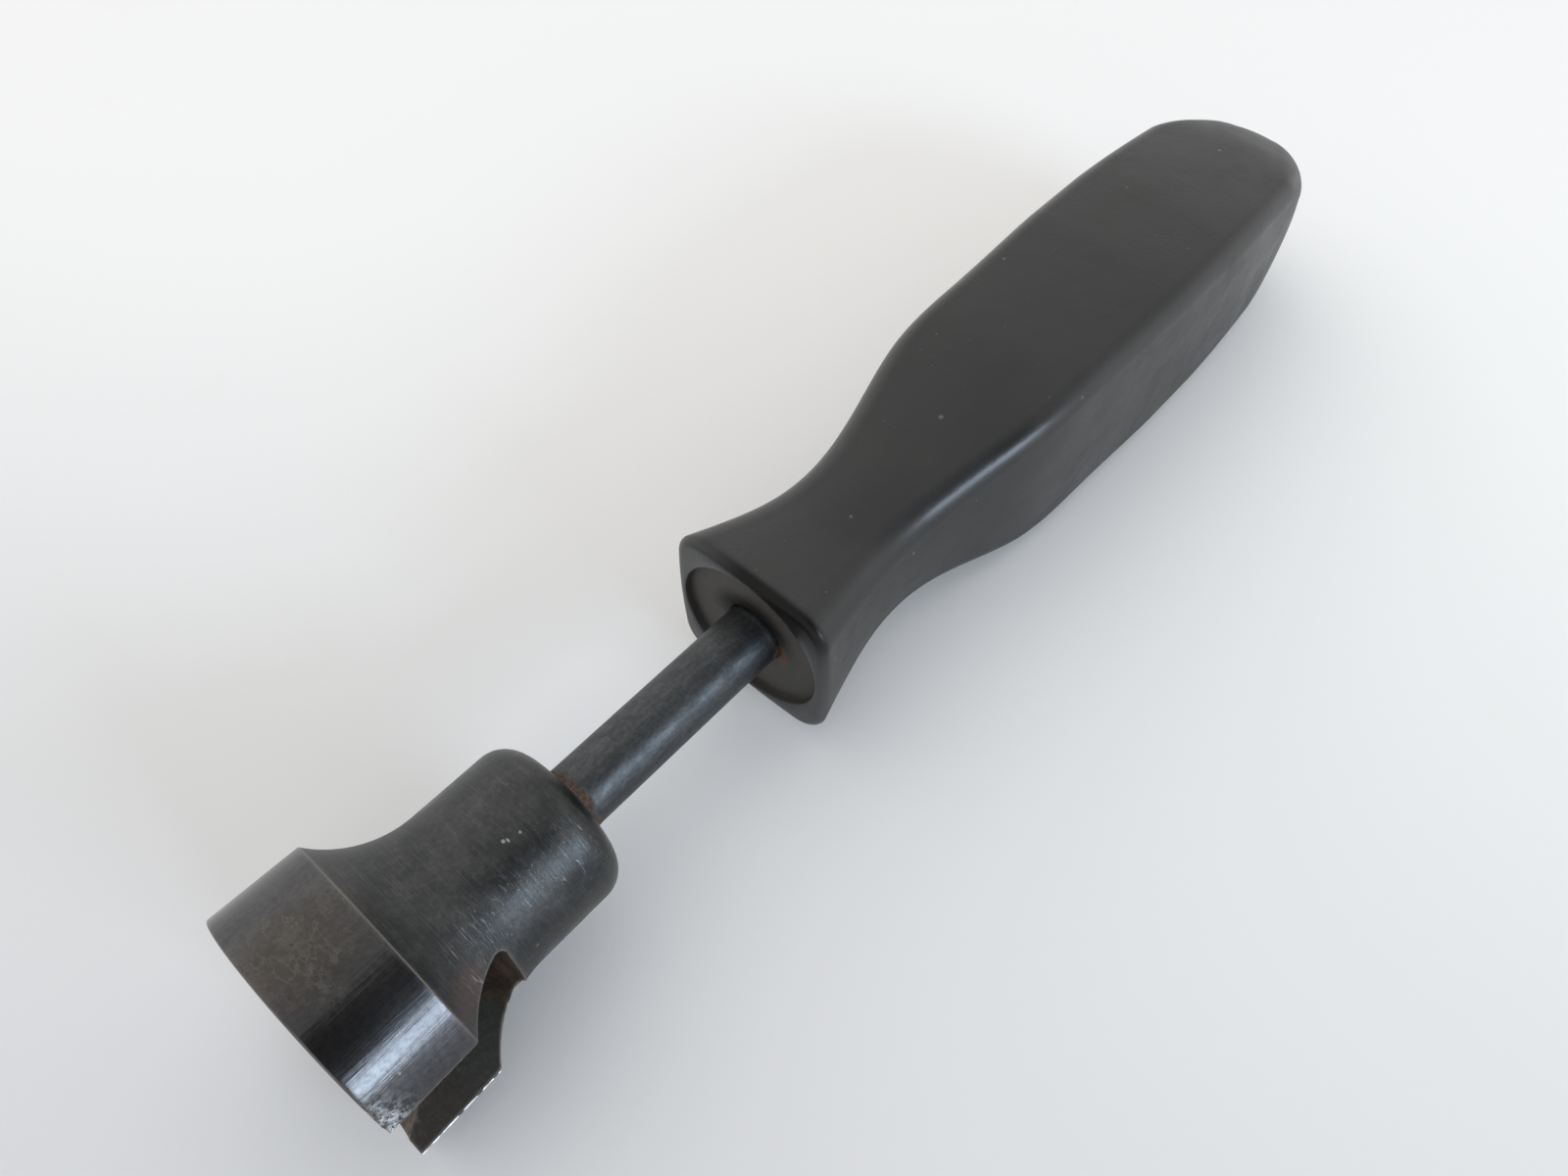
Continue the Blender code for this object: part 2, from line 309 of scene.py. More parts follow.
def cut_away(piece, cutter):
    outward(piece.data)
    outward(cutter.data)
    modifier = piece.modifiers.new("slot", "BOOLEAN")
    modifier.operation = "DIFFERENCE"
    modifier.solver = "EXACT"
    modifier.object = cutter
    bpy.context.view_layer.update()
    shapes = bpy.context.evaluated_depsgraph_get()
    mesh = bpy.data.meshes.new_from_object(piece.evaluated_get(shapes))
    piece.modifiers.clear()
    piece.data = mesh
    bpy.data.objects.remove(cutter)


def slot_distance(points):
    """How far each point lies outside the slot's outline, seen from the slot's side."""
    turned_back = points @ np.array(Matrix.Rotation(-SLOT_TURN, 3, "X")).T
    along, out, across = turned_back[:, 0], -turned_back[:, 1], turned_back[:, 2]
    beside = np.abs(across) - (slot_half(out) - SLOT_CORNER_RADIUS)
    beyond = along - (SLOT_LENGTH - SLOT_CORNER_RADIUS)
    round_corner = np.hypot(np.maximum(beside, 0.0), np.maximum(beyond, 0.0))
    gap = round_corner + np.minimum(np.maximum(beside, beyond), 0.0) - SLOT_CORNER_RADIUS
    far = 99.0
    return np.where(out > -2.0, gap, far)


def chewed_depth(points, radius, near, rim):
    """How deep the corner at the slot's mouth is chewed, and the small nicks along the rim."""
    lumps = np.clip(0.12 + 0.4 * bumps(points, 0.55, 3.0), 0.0, 0.5)
    nicks = np.clip(bumps(points, 1.6, 8.0) - 0.32, 0.0, 1.0)
    outside_only = (radius > 13.0) * (points[:, 0] < 4.0)
    return (near * lumps + rim * nicks * 0.45) * outside_only


def make_cup(material):
    angles = 2.0 * math.pi * np.arange(CUP_STEPS) / CUP_STEPS
    circle = np.stack([np.zeros(CUP_STEPS), np.cos(angles), np.sin(angles)], -1)
    outline = cup_outline()
    rings = [circle * radius + (along, 0.0, 0.0) for along, radius in outline]
    poles = [(outline[end][0], 0.0, 0.0) for end in (0, -1)]
    cup = add_piece("cup_head_steel", ring_mesh("cup_head_steel", rings, *poles))
    cut_away(cup, slot_cutter())
    mesh = cup.data
    points = mesh_points(mesh)
    along, radius = points[:, 0], np.hypot(points[:, 1], points[:, 2])
    outer = np.array([outer_radius(x) for x in along])
    within = (radius < outer - 0.25) & (along < BORE_DEPTH + 0.2)
    gap = slot_distance(points)
    cone_radius = MOUTH_RADIUS - along * (MOUTH_RADIUS - WIDE_BORE_RADIUS) / CONE_DEPTH
    cone = within & (np.abs(radius - cone_radius) < 0.2) & (along < CONE_DEPTH)
    # wear at the slot's upper corner and along the rim
    corner_angle = math.radians(24.0)
    corner = SKIRT_RADIUS * np.array((0.0, -math.cos(corner_angle), math.sin(corner_angle)))
    near = np.exp(-((np.linalg.norm(points - corner, axis=1) / 2.1) ** 2))
    rim = np.exp(-np.abs(along) / 0.35) * ~within
    inwards = -points / np.maximum(radius, 1e-6)[:, None]
    inwards[:, 0] = 0.9
    moved = points + inwards * chewed_depth(points, radius, near, rim)[:, None]
    mesh.vertices.foreach_set("co", moved.ravel())
    mesh.update()
    # a thin bright line along the ridge: a painted highlight; the mouth's rim and the slot's edges
    # are real wear
    ridge_highlight = 0.55 * np.exp(-((along - SKIRT_LENGTH) / 0.10) ** 2) * ~within
    mouth = 0.8 * np.exp(-np.maximum(along, 0.0) / 0.12)
    slot_edge = np.exp(-np.abs(gap) / 0.13) * (gap > -0.05) * (gap < 5.0)
    slot_edge = slot_edge * (np.abs(radius - outer) < 0.3)
    store(mesh, "inside", within)
    store(mesh, "cut_side", within & (np.abs(gap) < 0.14))
    store(mesh, "cone", cone)
    store(mesh, "edge_wear_and_sheen", np.clip(np.maximum.reduce([ridge_highlight, mouth, slot_edge]), 0.0, 1.0))
    store(mesh, "chewed", np.clip(near * 1.6, 0.0, 1.0))
    settle(cup, "cup_head", material, 32.0)


# Shank -------------------------------------------------------------------------------------------

def shank_rings(stations, angles):
    """Rings of the shank from (place, half width, half height) stations."""
    rings = []
    for along, reach, height in stations:
        rise = np.clip(reach * np.sin(angles), -height, height)
        rings.append(np.stack([np.full(len(angles), along), reach * np.cos(angles), rise], -1))
    return rings


def shank_stations(start, grown):
    """Stations of the shank from its start to its flattened end, grown all round."""
    radius, flat = SHANK_RADIUS + grown, TANG_HALF_THICKNESS + grown
    end = HANDLE_FRONT + SHANK_IN_HANDLE + grown
    tang = end - TANG_LENGTH
    return [
        (start, radius - SHANK_CHAMFER, radius),
        (start + SHANK_CHAMFER, radius, radius),
        (tang - TANG_RAMP, radius, radius),
        (tang, radius, flat),
        (end - SHANK_CHAMFER, radius, flat),
        (end, radius - SHANK_CHAMFER, flat - SHANK_CHAMFER),
    ]


def make_shank(material):
    ends = shank_stations(SHANK_START, 0.0)
    shown = [(along, SHANK_RADIUS, SHANK_RADIUS)
             for along in np.arange(CUP_LENGTH - 1.0, HANDLE_FRONT + 3.0, 0.2)]
    angles = 2.0 * math.pi * np.arange(SHANK_STEPS) / SHANK_STEPS
    rings = shank_rings(ends[:2] + shown + ends[2:], angles)
    mesh = ring_mesh("shank_rod", rings, (ends[0][0], 0.0, 0.0), (ends[-1][0], 0.0, 0.0))
    points = mesh_points(mesh)
    along = points[:, 0]
    ragged = bumps(points, 1.1, 5.0)
    lumps = bumps(points, 0.35, 11.0)
    # crusts of rust where it leaves the cup and where it enters the handle
    root = np.clip((CUP_LENGTH + 1.4 + 0.4 * ragged - along) / 1.2, 0.0, 1.0)
    root = root * (along > CUP_LENGTH - 1.0)
    front = np.exp(-((along - HANDLE_FRONT - RECESS_DEPTH) / 0.5) ** 2)
    grown = root * (0.13 + 0.06 * lumps) + front * (0.10 + 0.08 * ragged)
    most = np.where(along > HANDLE_FRONT - 0.5, 0.07, 0.2)
    grown = np.minimum(np.clip(grown, 0.0, 0.2), most)
    points[:, 1:] *= (1.0 + grown / SHANK_RADIUS)[:, None]
    mesh.vertices.foreach_set("co", points.ravel())
    outward(mesh)
    shank = add_piece("shank_rod", mesh)
    settle(shank, "shank", material, 35.0)


# Handle ------------------------------------------------------------------------------------------

def spline(points):
    """A smooth curve through (place, value) points, as a function of the place."""
    x, y = np.array(points, float).T
    gaps = np.diff(x)
    matrix, right = np.eye(len(x)), np.zeros(len(x))
    for k in range(1, len(x) - 1):
        matrix[k, k - 1:k + 2] = gaps[k - 1], 2.0 * (gaps[k - 1] + gaps[k]), gaps[k]
        right[k] = 6.0 * ((y[k + 1] - y[k]) / gaps[k] - (y[k] - y[k - 1]) / gaps[k - 1])
    bend = np.linalg.solve(matrix, right)

    def value(at):
        k = int(np.clip(np.searchsorted(x, at) - 1, 0, len(gaps) - 1))
        a, b = (x[k + 1] - at) / gaps[k], (at - x[k]) / gaps[k]
        curve = ((a ** 3 - a) * bend[k] + (b ** 3 - b) * bend[k + 1]) * gaps[k] ** 2 / 6.0
        return a * y[k] + b * y[k + 1] + curve

    return value


half_width = spline(HANDLE_PROFILE)
LAST_PLACE = HANDLE_PROFILE[-1][0]
LARGEST_HALF_WIDTH = max(half for _, half in HANDLE_PROFILE)


def square_ring(along, half, corner):
    """A square with rounded corners and slightly bulging sides."""
    corner = min(corner, LARGEST_CORNER * half)
    crown = min(FACE_CROWN, NARROW_CROWN * (half - corner))
    inner = half - crown - corner
    quarter = []
    for angle in np.radians(np.linspace(0.0, 90.0, 15)):
        c, s = math.cos(angle), math.sin(angle)
        quarter.append((inner + corner * c, inner + corner * s))
    for across in np.linspace(1.0, -1.0, 13)[1:-1]:
        quarter.append((inner * across, half - crown * across * across))
    ring = []
    for turn in range(4):
        c, s = round(math.cos(0.5 * math.pi * turn)), round(math.sin(0.5 * math.pi * turn))
        ring.extend((along, c * y - s * z, s * y + c * z) for y, z in quarter)
    return np.array(ring)


def handle_rings():
    """Rings of the handle's outside: the front's rounded edge, the grip and the butt."""
    rings = []
    front_half = half_width(FRONT_EDGE_RADIUS)
    for angle in np.radians(np.linspace(0.0, 90.0, 9)):
        inset = FRONT_EDGE_RADIUS * (1.0 - math.sin(angle))
        distance = FRONT_EDGE_RADIUS * (1.0 - math.cos(angle))
        rings.append((distance, front_half - inset, FRONT_CORNER_RADIUS - inset))
    butt_start = HANDLE_LENGTH - BUTT_LENGTH
    for distance in np.linspace(FRONT_EDGE_RADIUS, butt_start, 130)[1:]:
        blend = min(1.0, distance / CORNER_CHANGE_LENGTH)
        corner = FRONT_CORNER_RADIUS + (GRIP_CORNER_RADIUS - FRONT_CORNER_RADIUS) * blend
        rings.append((distance, min(half_width(distance), LARGEST_HALF_WIDTH), corner))
    for angle in np.radians(np.linspace(0.0, 88.0, 42))[1:]:
        share = math.sin(angle)
        shrink = (1.0 - share ** BUTT_POWER) ** (1.0 / BUTT_POWER)
        distance = butt_start + BUTT_LENGTH * share
        half = half_width(min(distance, LAST_PLACE)) * shrink
        growth = (LARGEST_CORNER * half - GRIP_CORNER_RADIUS) * share ** BUTT_CORNER_POWER
        corner = GRIP_CORNER_RADIUS + growth
        rings.append((distance, half, corner))
    return [square_ring(HANDLE_FRONT + along, half, corner) for along, half, corner in rings]


def front_rings(circle):
    """Rings of the front's recess, from its rim in to the hole for the shank."""
    floor, hole = HANDLE_FRONT + RECESS_DEPTH, SHANK_RADIUS + CLEARANCE
    steps = [
        (HANDLE_FRONT, RECESS_RADIUS + 0.25), (HANDLE_FRONT + 0.08, RECESS_RADIUS + 0.07),
        (HANDLE_FRONT + 0.25, RECESS_RADIUS), (floor - 0.35, RECESS_RADIUS - 0.03),
        (floor - 0.10, RECESS_RADIUS - 0.13), (floor, RECESS_RADIUS - 0.38),
    ]
    steps.extend((floor, radius) for radius in np.linspace(RECESS_RADIUS - 0.9, hole + 0.3, 9))
    steps.append((floor + 0.12, hole - 0.14))
    return [circle * radius + (along, 0.0, 0.0) for along, radius in steps]


def make_handle(material):
    outside = handle_rings()
    front = outside[0]
    angles = np.arctan2(front[:, 2], front[:, 1])
    circle = np.stack([np.zeros(len(angles)), np.cos(angles), np.sin(angles)], -1)
    face = front_rings(circle)
    middle = [front * (1.0, 0.5, 0.5) + face[0] * (0.0, 0.5, 0.5)]
    # the hole closes in on the shank at the recess's floor, then the bore follows the shank
    floor, hole = HANDLE_FRONT + RECESS_DEPTH, SHANK_RADIUS + CLEARANCE
    lip = [(floor + 0.3, hole - 0.18, hole - 0.18), (floor + 0.9, hole, hole)]
    bore = shank_rings(lip + shank_stations(CUP_LENGTH, CLEARANCE)[2:], angles)
    poles = [(bore[-1][0][0], 0.0, 0.0), (HANDLE_FRONT + HANDLE_LENGTH, 0.0, 0.0)]
    mesh = ring_mesh("handle_grip", bore[::-1] + face[::-1] + middle + outside, *poles)
    outward(mesh)
    points = mesh_points(mesh)
    along = points[:, 0] - HANDLE_FRONT
    across = np.sort(np.abs(points[:, 1:]), axis=1)
    limit = np.array([half_width(min(max(x, 0.0), LAST_PLACE)) for x in along])
    # the grip's long corners and the front's rim, paler from wear; on the crests the paleness is
    # also a painted sheen
    edge = np.clip((across[:, 0] - (limit - 2.6)) / 1.6, 0.0, 1.0) * (across[:, 1] > limit - 3.0)
    rim = np.exp(-((along - 0.3) / 0.5) ** 2)
    rim = rim * (np.hypot(points[:, 1], points[:, 2]) > RECESS_RADIUS + 0.2)
    store(mesh, "edge_wear_and_sheen", np.clip(np.maximum(edge, rim), 0.0, 1.0))
    settle(add_piece("handle_grip", mesh), "handle", material, 40.0)


# Finishes ----------------------------------------------------------------------------------------

DARK_RUST, BROWN_RUST = (0.030, 0.013, 0.007), (0.125, 0.052, 0.020)
BRIGHT_RUST = (0.26, 0.115, 0.042)
WISP_GREY, WISP_BROWN = (0.110, 0.102, 0.087), (0.100, 0.070, 0.047)


def put(tree, value, socket):
    """Join an output to a socket, or set a plain value on it."""
    if isinstance(value, bpy.types.NodeSocket):
        tree.links.new(value, socket)
    elif socket.type == "RGBA" and len(value) == 3:
        socket.default_value = (*value, 1.0)
    else:
        socket.default_value = value


def calc(tree, operation, *values, clamp=False):
    step = tree.nodes.new("ShaderNodeMath")
    step.operation, step.use_clamp = operation, clamp
    for value, socket in zip(values, step.inputs):
        put(tree, value, socket)
    return step.outputs[0]


def times(tree, first, second, clamp=False):
    return calc(tree, "MULTIPLY", first, second, clamp=clamp)


def plus(tree, first, second, clamp=False):
    return calc(tree, "ADD", first, second, clamp=clamp)


def minus(tree, first, second, clamp=False):
    return calc(tree, "SUBTRACT", first, second, clamp=clamp)


def length(tree, first, second):
    """How far a point is from the middle, by its two distances at right angles."""
    return calc(tree, "SQRT", plus(tree, times(tree, first, first), times(tree, second, second)))


def mixed(tree, amount, first, second, how="MIX"):
    """A colour between two colours."""
    step = tree.nodes.new("ShaderNodeMix")
    step.data_type, step.blend_type = "RGBA", how
    put(tree, amount, step.inputs["Factor"])
    put(tree, first, step.inputs[6])
    put(tree, second, step.inputs[7])
    return step.outputs[2]


def level(tree, amount, first, second):
    """A plain value between two values."""
    step = tree.nodes.new("ShaderNodeMix")
    step.data_type = "FLOAT"
    put(tree, amount, step.inputs["Factor"])
    put(tree, first, step.inputs[2])
    put(tree, second, step.inputs[3])
    return step.outputs[0]


def between(tree, value, low, high, start=0.0, end=1.0):
    """A value moved smoothly from one range to another, held at both ends."""
    step = tree.nodes.new("ShaderNodeMapRange")
    step.interpolation_type = "SMOOTHSTEP"
    for number, item in zip(range(5), (value, low, high, start, end)):
        put(tree, item, step.inputs[number])
    return step.outputs[0]


def grain(tree, place, scale, detail=3.0, roughness=0.55):
    """Cloudy noise from nought to one."""
    step = tree.nodes.new("ShaderNodeTexNoise")
    put(tree, place, step.inputs["Vector"])
    put(tree, scale, step.inputs["Scale"])
    put(tree, detail, step.inputs["Detail"])
    put(tree, roughness, step.inputs["Roughness"])
    return step.outputs["Fac"]


def stretched(tree, place, scale, shift=(0.0, 0.0, 0.0)):
    """The place with each direction scaled, so that what is drawn there stretches."""
    step = tree.nodes.new("ShaderNodeMapping")
    put(tree, place, step.inputs["Vector"])
    put(tree, shift, step.inputs["Location"])
    put(tree, scale, step.inputs["Scale"])
    return step.outputs[0]


def group(name, inputs, outputs):
    """An empty shader group with its sockets; gives the tree, its inputs and its outputs."""
    tree = bpy.data.node_groups.new(name, "ShaderNodeTree")
    kinds = {"value": "NodeSocketFloat", "vector": "NodeSocketVector", "colour": "NodeSocketColor"}
    for socket, kind, default in inputs:
        made = tree.interface.new_socket(socket, in_out="INPUT", socket_type=kinds[kind])
        if default is not None:
            made.default_value = default
    for socket, kind in outputs:
        tree.interface.new_socket(socket, in_out="OUTPUT", socket_type=kinds[kind])
    return tree, tree.nodes.new("NodeGroupInput").outputs, tree.nodes.new("NodeGroupOutput").inputs


def placed(tree, made, **values):
    """One use of a shader group with its own values; gives its outputs."""
    step = tree.nodes.new("ShaderNodeGroup")
    step.node_tree = made
    for name, value in values.items():
        put(tree, value, step.inputs[name])
    return step.outputs


def make_blotches():
    """Soft uneven patches of grime, polish or tint."""
    tree, given, result = group(
        "grime_blotches",
        [("Place", "vector", None), ("Scale", "value", 0.2), ("Start", "value", 0.45),
         ("Full", "value", 0.7)],
        [("Mask", "value")],
    )
    patches = grain(tree, given["Place"], given["Scale"], 5.0, 0.62)
    put(tree, between(tree, patches, given["Start"], given["Full"]), result["Mask"])
    return tree


def make_scratches():
    """Thin scratches, as the narrow bands where stretched noise crosses its middle."""
    tree, given, result = group(
        "hairline_scratches",
        [("Place", "vector", None), ("Scale", "value", 1.0), ("Width", "value", 0.02),
         ("Share", "value", 0.5)],
        [("Mask", "value")],
    )
    bent = grain(tree, given["Place"], given["Scale"], 1.0, 0.4)
    off = calc(tree, "ABSOLUTE", minus(tree, bent, 0.5))
    line = minus(tree, 1.0, calc(tree, "DIVIDE", off, given["Width"]), clamp=True)
    elsewhere = stretched(tree, given["Place"], (0.6, 0.6, 0.6), (7.0, 3.0, 1.0))
    start = minus(tree, 0.75, times(tree, given["Share"], 0.5))
    kept = between(tree, grain(tree, elsewhere, given["Scale"], 2.0), start, 0.8)
    put(tree, times(tree, line, kept), result["Mask"])
    return tree


def make_specks():
    """Small round specks and pin-head dings, scattered unevenly."""
    tree, given, result = group(
        "pinhead_specks",
        [("Place", "vector", None), ("Scale", "value", 0.5), ("Size", "value", 0.1)],
        [("Mask", "value")],
    )
    cells = tree.nodes.new("ShaderNodeTexVoronoi")
    put(tree, given["Place"], cells.inputs["Vector"])
    put(tree, given["Scale"], cells.inputs["Scale"])
    split = tree.nodes.new("ShaderNodeSeparateColor")
    put(tree, cells.outputs["Color"], split.inputs[0])
    size = times(tree, given["Size"], calc(tree, "POWER", split.outputs[0], 3.0))
    within = minus(tree, size, cells.outputs["Distance"])
    put(tree, times(tree, within, 30.0, clamp=True), result["Mask"])
    return tree


def make_rust():
    """Crusted rust inside a mask: its colour, its broken cover and its height."""
    tree, given, result = group(
        "crusted_rust",
        [("Place", "vector", None), ("Scale", "value", 1.5), ("Amount", "value", 0.5)],
        [("Mask", "value"), ("Colour", "colour"), ("Height", "value")],
    )
    coarse = grain(tree, given["Place"], given["Scale"], 6.0, 0.68)
    fine = grain(tree, given["Place"], times(tree, given["Scale"], 4.5), 4.0, 0.7)
    start = minus(tree, 0.86, times(tree, given["Amount"], 0.72))
    cover = between(tree, coarse, start, plus(tree, start, 0.16))
    dark = mixed(tree, between(tree, fine, 0.35, 0.65), DARK_RUST, BROWN_RUST)
    colour = mixed(tree, between(tree, fine, 0.62, 0.78), dark, BRIGHT_RUST)
    put(tree, cover, result["Mask"])
    put(tree, colour, result["Colour"])
    put(tree, times(tree, cover, fine), result["Height"])
    return tree


blotches, scratches, specks, rust = make_blotches(), make_scratches(), make_specks(), make_rust()


def new_finish(name):
    """A material with its place in millimetres, as a vector and as along, y and z."""
    material = bpy.data.materials.new(name)
    material.use_nodes = True
    tree = material.node_tree
    surface = tree.nodes["Principled BSDF"]
    place = tree.nodes.new("ShaderNodeTexCoord").outputs["Object"]
    place = stretched(tree, place, (1000.0, 1000.0, 1000.0))
    split = tree.nodes.new("ShaderNodeSeparateXYZ")
    put(tree, place, split.inputs[0])
    return material, tree, surface, place, split.outputs


def stored(tree, name):
    step = tree.nodes.new("ShaderNodeAttribute")
    step.attribute_name = name
    return step.outputs["Fac"]


def raised(tree, height, microns, before=None):
    """A bump up to this many microns high, on top of an earlier one."""
    step = tree.nodes.new("ShaderNodeBump")
    step.inputs["Distance"].default_value = microns * MICRON
    put(tree, height, step.inputs["Height"])
    if before is not None:
        put(tree, before, step.inputs["Normal"])
    return step.outputs[0]


def joined(tree, x, y, z):
    step = tree.nodes.new("ShaderNodeCombineXYZ")
    for value, socket in zip((x, y, z), step.inputs):
        put(tree, value, socket)
    return step.outputs[0]


def angle_round(tree, y, z):
    """The angle round the tool's axis from -Y up towards +Z, in radians."""
    return calc(tree, "ARCTAN2", z, times(tree, y, -1.0))


def unrolled_place(tree, parts, radius):
    """The angle, the distance from the axis, and the place unrolled: along, round, out."""
    along, y, z = parts
    angle, out = angle_round(tree, y, z), length(tree, y, z)
    return angle, out, joined(tree, along, times(tree, angle, radius), out)


def blob(tree, along, angle, centre, half_along, half_angle, soft=0.5):
    """A soft oval spot round the tool: one at its middle, nought outside; angles in degrees."""
    x = calc(tree, "DIVIDE", minus(tree, along, centre[0]), half_along)
    turn = minus(tree, angle, math.radians(centre[1]))
    turn = calc(tree, "DIVIDE", turn, math.radians(half_angle))
    return between(tree, length(tree, x, turn), 1.0 + soft, 1.0 - soft)


def stripe(tree, angle, middle, half_angle):
    """A soft stripe along the tool at this angle."""
    return blob(tree, 0.0, angle, (0.0, middle), 1.0, half_angle)


def tinted(tree, colour, amount, mask, tint):
    """The colour with up to this amount of a tint where the mask is."""
    return mixed(tree, times(tree, mask, amount), colour, tint)


def pitted_patch(tree, colour, place, along, angle, mottle):
    """Grey-brown pitting towards the skirt's top, browner at the mouth; colour and its wisps."""
    patch = blob(tree, along, angle, (4.8, 91.0), 4.9, 18.0, soft=0.7)
    threads = grain(tree, stretched(tree, place, (0.50, 0.24, 0.24)), 1.0, 4.0, 0.55)
    threads = between(tree, calc(tree, "ABSOLUTE", minus(tree, threads, 0.5)), 0.022, 0.003)
    clouds = between(tree, grain(tree, place, 0.55, 6.0, 0.72), 0.47, 0.68)
    wisps = plus(tree, times(tree, threads, 0.3), times(tree, clouds, 0.75), clamp=True)
    wisps = times(tree, wisps, patch)
    wisp_colour = mixed(tree, between(tree, along, 4.5, 0.5), WISP_GREY, WISP_BROWN)
    colour = tinted(tree, colour, 0.55, patch, (0.052, 0.044, 0.037))
    colour = tinted(tree, colour, 0.8, wisps, wisp_colour)
    colour = tinted(tree, colour, 0.22, times(tree, threads, patch), (0.15, 0.142, 0.12))
    pits = times(tree, between(tree, mottle, 0.60, 0.70), patch)
    return tinted(tree, colour, 0.8, pits, (0.028, 0.022, 0.017)), wisps


def bright_flakes(tree, along, angle):
    """Three small bright flakes on the cup's body."""
    spots = ((23.65, 74.6, 0.17, 1.1), (24.05, 73.2, 0.12, 1.3), (25.4, 72.0, 0.13, 0.8))
    flakes, *others = (blob(tree, along, angle, (x, turn), half_along, half_angle)
                       for x, turn, half_along, half_angle in spots)
    for spot in others:
        flakes = calc(tree, "MAXIMUM", flakes, spot)
    return flakes


def cup_inside(tree, along, from_axis, mottle, deep, cone, cut_side):
    """Inside the cup: a mottled brown cone, dark stained bores, rust towards the floor."""
    wall = mixed(tree, between(tree, along, 5.0, 9.5), (0.034, 0.029, 0.026), (0.032, 0.036, 0.033))
    rusty = between(tree, deep, 0.35, 0.7)
    rusty = mixed(tree, rusty, (0.030, 0.020, 0.014), (0.068, 0.043, 0.028))
    slant = minus(tree, along, times(tree, minus(tree, from_axis, 8.5), 0.75))
    slant = plus(tree, slant, times(tree, deep, 1.2))
    wall = mixed(tree, between(tree, slant, 12.9, 13.7), wall, rusty)
    cone_colour = between(tree, mottle, 0.36, 0.62)
    cone_colour = mixed(tree, cone_colour, (0.050, 0.041, 0.034), (0.15, 0.125, 0.10))
    wall = mixed(tree, cone, wall, cone_colour)
    glints = times(tree, cut_side, between(tree, mottle, 0.45, 0.7))
    return tinted(tree, wall, 0.4, glints, (0.075, 0.070, 0.066))


